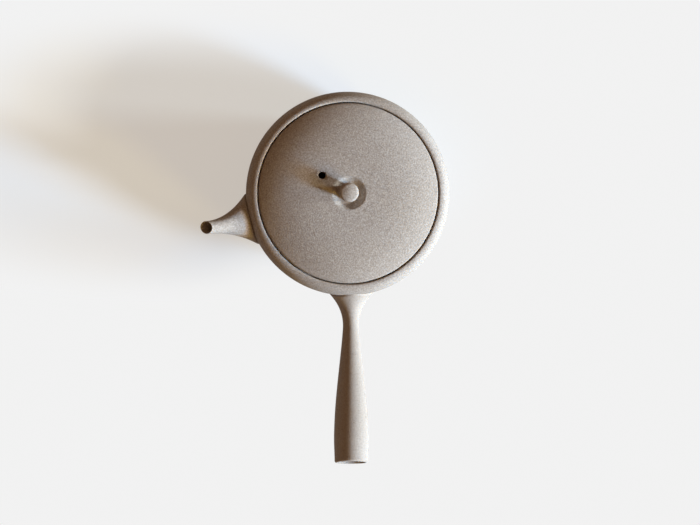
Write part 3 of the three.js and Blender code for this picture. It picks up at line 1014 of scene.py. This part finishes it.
@dataclass
class Lid:
    """The lid: a wide dome with a well for the knob, a steam vent, and a flange that keeps it in its seat.

    It lies a little to one side, because it is loose in its seat.
    """

    radius: float
    edge_top: float
    place: Triple = (0.2 * MM, -0.03 * MM, 0.0)
    edge_thickness: float = 3.3 * MM
    edge_bevel: float = 0.65 * MM
    rise: float = 7.3 * MM
    dome_power: float = 3.5
    dome_steps: int = 400
    thickness: float = 3 * MM
    flange_inset: float = 4.7 * MM
    flange_depth: float = 5 * MM
    flange_wall: float = 2.6 * MM
    well_floor_radius: float = 6.4 * MM
    well_slope: float = 3.8 * MM
    well_depth: float = 2.5 * MM
    vent_radius: float = 2.15 * MM
    vent_distance: float = 18.7 * MM
    vent_bearing: float = 146.3
    vent_round: float = 0.2 * MM
    vent_round_steps: int = 12
    softness: float = 0.28 * MM

    @property
    def well_floor(self) -> float:
        """Height of the well's floor."""
        return self.edge_top + self.rise - self.well_depth

    def dome(self, radius: Array) -> Array:
        """Height of the dome without the well: edge + rise (1 - (r / R)^power)."""
        return self.edge_top + self.rise * (1 - (radius / self.radius) ** self.dome_power)

    def top(self, radius: Array) -> Array:
        """Height of the upper face, which runs smoothly from the well's floor up to the dome."""
        rim = self.well_floor_radius + self.well_slope
        share = smoothstep(self.well_floor_radius, rim, radius)
        well = self.well_floor + (self.dome(np.array(rim)) - self.well_floor) * share
        return np.where(radius < rim, well, self.dome(radius))

    def section(self) -> Array:
        """The whole section, from the axis under the lid, round the flange and the edge, over the dome."""
        underside = self.edge_top - self.edge_thickness
        flange = self.radius - self.flange_inset
        inside = flange - self.flange_wall
        under = np.linspace(0.0, inside, CURVE_STEPS)
        ceiling = np.minimum(self.dome(under), self.well_floor) - self.thickness
        drawn = Section().to(*zip(under, ceiling))
        drawn.to((inside, underside - self.flange_depth), (flange, underside - self.flange_depth))
        drawn.to((flange, underside), (self.radius, underside))
        drawn.to((self.radius, self.edge_top - self.edge_bevel))
        over = np.linspace(self.radius - self.edge_bevel, 0.0, self.dome_steps)
        drawn.to(*zip(over, self.top(over)))
        return drawn.softened(self.softness)

    def vent(self) -> Object:
        """The peg that cuts the vent and rounds over its upper edge."""
        surface = float(self.dome(np.array(self.vent_distance)))
        bottom = surface - 3 * self.thickness
        lip = self.vent_round
        drawn = Section().to((0.0, bottom), (self.vent_radius, bottom))
        drawn.arc((self.vent_radius + lip, surface - lip), lip, 180, 90, self.vent_round_steps)
        drawn.to((self.vent_radius + 2 * lip, surface + lip), (0.0, surface + lip))
        middle = self.place + polar(self.vent_distance, self.vent_bearing, 0.0)
        return spun_object("vent", drawn.raw(), VENT_COLUMNS, lambda points: points + middle)

    def build(self) -> Object:
        """Spins the lid and cuts its vent."""
        lid = spun_object("stoneware_lid", self.section(), ROUND_COLUMNS, lambda points: points + self.place)
        cut_away(lid, self.vent())
        return lid


@dataclass
class Knob:
    """The knob: a small stand with a narrow waist and a flat head with a rounded edge."""

    base: float
    height: float = 11.8 * MM
    foot_radius: float = 5 * MM
    waist_pull: float = 4.1 * MM
    waist_low: float = 2 * MM
    waist_high: float = 5.5 * MM
    flare_height: float = 9.2 * MM
    head_radius: float = 5.5 * MM
    head_edge: float = 1.8 * MM
    crown: float = 0.5 * MM
    softness: float = 0.2 * MM

    def section(self) -> Array:
        """The section, from the axis under the foot up to the middle of the slightly crowned head."""
        side = self.height - self.crown - self.head_edge
        flat = self.head_radius - self.head_edge
        low, high = (self.waist_pull, self.waist_low), (self.waist_pull, self.waist_high)
        drawn = Section().to((0.0, 0.0), (self.foot_radius, 0.0))
        drawn.curve(low, high, (self.head_radius, self.flare_height))
        drawn.arc((flat, side), self.head_edge, 0, 90)
        across = np.linspace(flat, 0.0, CURVE_STEPS)
        drawn.to(*zip(across, self.height - self.crown * (across / flat) ** 2))
        return drawn.softened(self.softness)

    def build(self) -> Object:
        """The knob, standing in the lid's well."""
        return spun_object("lid_knob_turned", self.section() + [0.0, self.base], SMALL_COLUMNS)


# The stage


@dataclass(frozen=True)
class Lamp:
    """A distant lamp: where it stands, how wide it looks in degrees, and its light on level ground."""

    name: str
    bearing: float
    height: float
    width: float
    light: Triple

    def build(self) -> None:
        """Makes the lamp: its strength is pi times its light on level ground over the sine of its height."""
        data = bpy.data.lights.new(self.name, "SUN")
        brightest = max(self.light)
        data.angle = math.radians(self.width)
        data.energy = math.pi * brightest / math.sin(math.radians(self.height))
        data.color = [part / brightest for part in self.light]
        aim = Vector(-heading(self.bearing, self.height))
        new_object(self.name, data).rotation_euler = aim.to_track_quat("-Z", "Y").to_euler()


@dataclass
class Studio:
    """The floor, the lamps and the camera almost straight above.

    The light is that of a low, wide window to the right, cool in its middle, with the warm, dim light that
    the room throws back.
    """

    camera_place: Triple = (-18.5 * MM, -21 * MM, 644.1 * MM)
    camera_lean: Triple = (-1.894, -1.876, -0.59)
    lens: float = 51.32
    sensor: float = 36.0
    lamps: tuple[Lamp, ...] = (
        Lamp("window_top", -24.0, 23.0, 9.0, (0.311, 0.294, 0.296)),
        Lamp("window_middle", -24.0, 16.0, 9.0, (0.092, 0.228, 0.379)),
        Lamp("window_side", -40.0, 23.0, 10.0, (0.137, 0.097, 0.028)),
        Lamp("window_low", 2.0, 9.0, 9.0, (0.169, 0.18, 0.176)),
    )
    fill: Triple = (0.221, 0.128, 0.068)
    backdrop: Triple = (0.89, 0.89, 0.89)
    floor_size: float = 4.0

    def camera(self) -> None:
        """Makes the camera and sets it as the scene's."""
        data = bpy.data.cameras.new("camera")
        data.lens = self.lens
        data.sensor_width = self.sensor
        camera = new_object("camera", data)
        camera.location = self.camera_place
        camera.rotation_euler = [math.radians(angle) for angle in self.camera_lean]
        bpy.context.scene.camera = camera

    def world(self) -> None:
        """A dim warm fill for the light, and a pale backdrop for what the camera sees."""
        world = bpy.data.worlds.new("studio")
        bpy.context.scene.world = world
        tree = Tree(world)
        colour = tree.mix(tree.seen(), self.fill, self.backdrop)
        shine = tree.add("ShaderNodeBackground", {"Color": colour}).outputs["Background"]
        tree.add("ShaderNodeOutputWorld", {"Surface": shine})

    def floor(self) -> None:
        """A wide, flat floor."""
        half = self.floor_size / 2
        corners = [(-half, -half, 0.0), (half, -half, 0.0), (half, half, 0.0), (-half, half, 0.0)]
        mesh = bpy.data.meshes.new("floor")
        mesh.from_pydata(corners, [], [(0, 1, 2, 3)])
        mesh.materials.append(PaleFloor().material())
        floor = new_object("floor", mesh)

    def build(self) -> None:
        """Everything but the teapot."""
        bpy.context.scene.view_settings.view_transform = "Standard"
        self.camera()
        for lamp in self.lamps:
            lamp.build()
        self.world()
        self.floor()


def dress(piece: Object, node: str, body: Body, finish: Material) -> None:
    """Gives a piece its finish and puts it in the place of its construction node.

    Args:
        piece: The new piece.
        node: The node that it stands for.
        body: The body that it rides on.
        finish: Its material.
    """
    piece.data.materials.clear()
    piece.data.materials.append(finish)
    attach(piece, body.value)
    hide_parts(node)
    LOG.info("%s: %d faces, in place of %s", piece.name, len(piece.data.polygons), node)


def main() -> None:
    """Builds the studio and the teapot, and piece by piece."""
    logging.basicConfig(level=logging.INFO, format="%(name)s: %(message)s")
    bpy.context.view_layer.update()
    Studio().build()

    low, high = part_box("pot_body")
    pot = Pot(radius=(high.x - low.x) / 2, height=high.z)
    low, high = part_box("lid")
    lid = Lid(radius=(high.x - low.x) / 2, edge_top=pot.height - pot.lid_edge_drop)
    knob = Knob(base=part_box("lid_knob")[0].z)

    clay = BareClay("bare_clay").material()
    # Painted light: the handle's copy of the clay has fainter grain and a weaker bump. This stands in for
    # the strong light washing the grain out on the handle's lit side. It is the same clay as the pot.
    handle_clay = BareClay("handle_clay_painted_light", contrast=0.35, bump=0.6).material()
    lid_clay = BareClay("lid_clay", offset=(0.3, 0.1, 0.2)).material()
    fine_sand = Noise(1500.0, 3.0, 0.7)
    fine_clay = BareClay("strainer_clay", grain=fine_sand, bump=0.4, offset=(0.6, 0.0, 0.1)).material()

    dress(pot.build(), "pot_body", Body.POT, clay)
    dress(Spout(pot).build(), "spout", Body.POT, clay)
    dress(Handle(pot).build(), "side_handle", Body.POT, handle_clay)
    dress(Strainer(pot).build(), "tea_strainer", Body.POT, fine_clay)
    dress(lid.build(), "lid", Body.LID, lid_clay)
    dress(knob.build(), "lid_knob", Body.LID, lid_clay)


if __name__ == "__main__":
    main()
